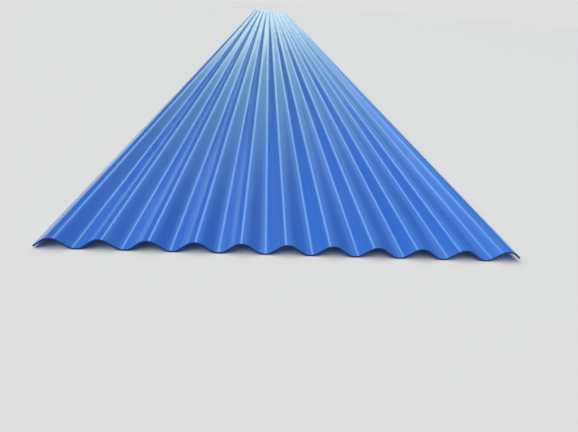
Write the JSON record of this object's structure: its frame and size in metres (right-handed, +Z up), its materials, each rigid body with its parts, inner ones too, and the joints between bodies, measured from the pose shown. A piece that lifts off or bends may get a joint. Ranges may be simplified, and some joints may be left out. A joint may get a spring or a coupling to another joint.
{
  "type": "corrugated roofing sheet",
  "caption": "Long round-wave corrugated roofing sheet of blue rigid plastic, with both side edges turned down.",
  "frame": {"origin": "on the floor, under the middle of the sheet's length and width", "axes": "+Y along the waves and the length of the sheet, +X across the waves, +Z up out of the weather face"},
  "size_m": [0.81, 11.8, 0.0209],
  "materials": {
    "roofing_sheet": "glossy blue rigid PVC, coloured through, with sawn matt ends"
  },
  "bodies": {
    "root": {"roofing_sheet": "roofing_sheet"}
  },
  "joints": []
}
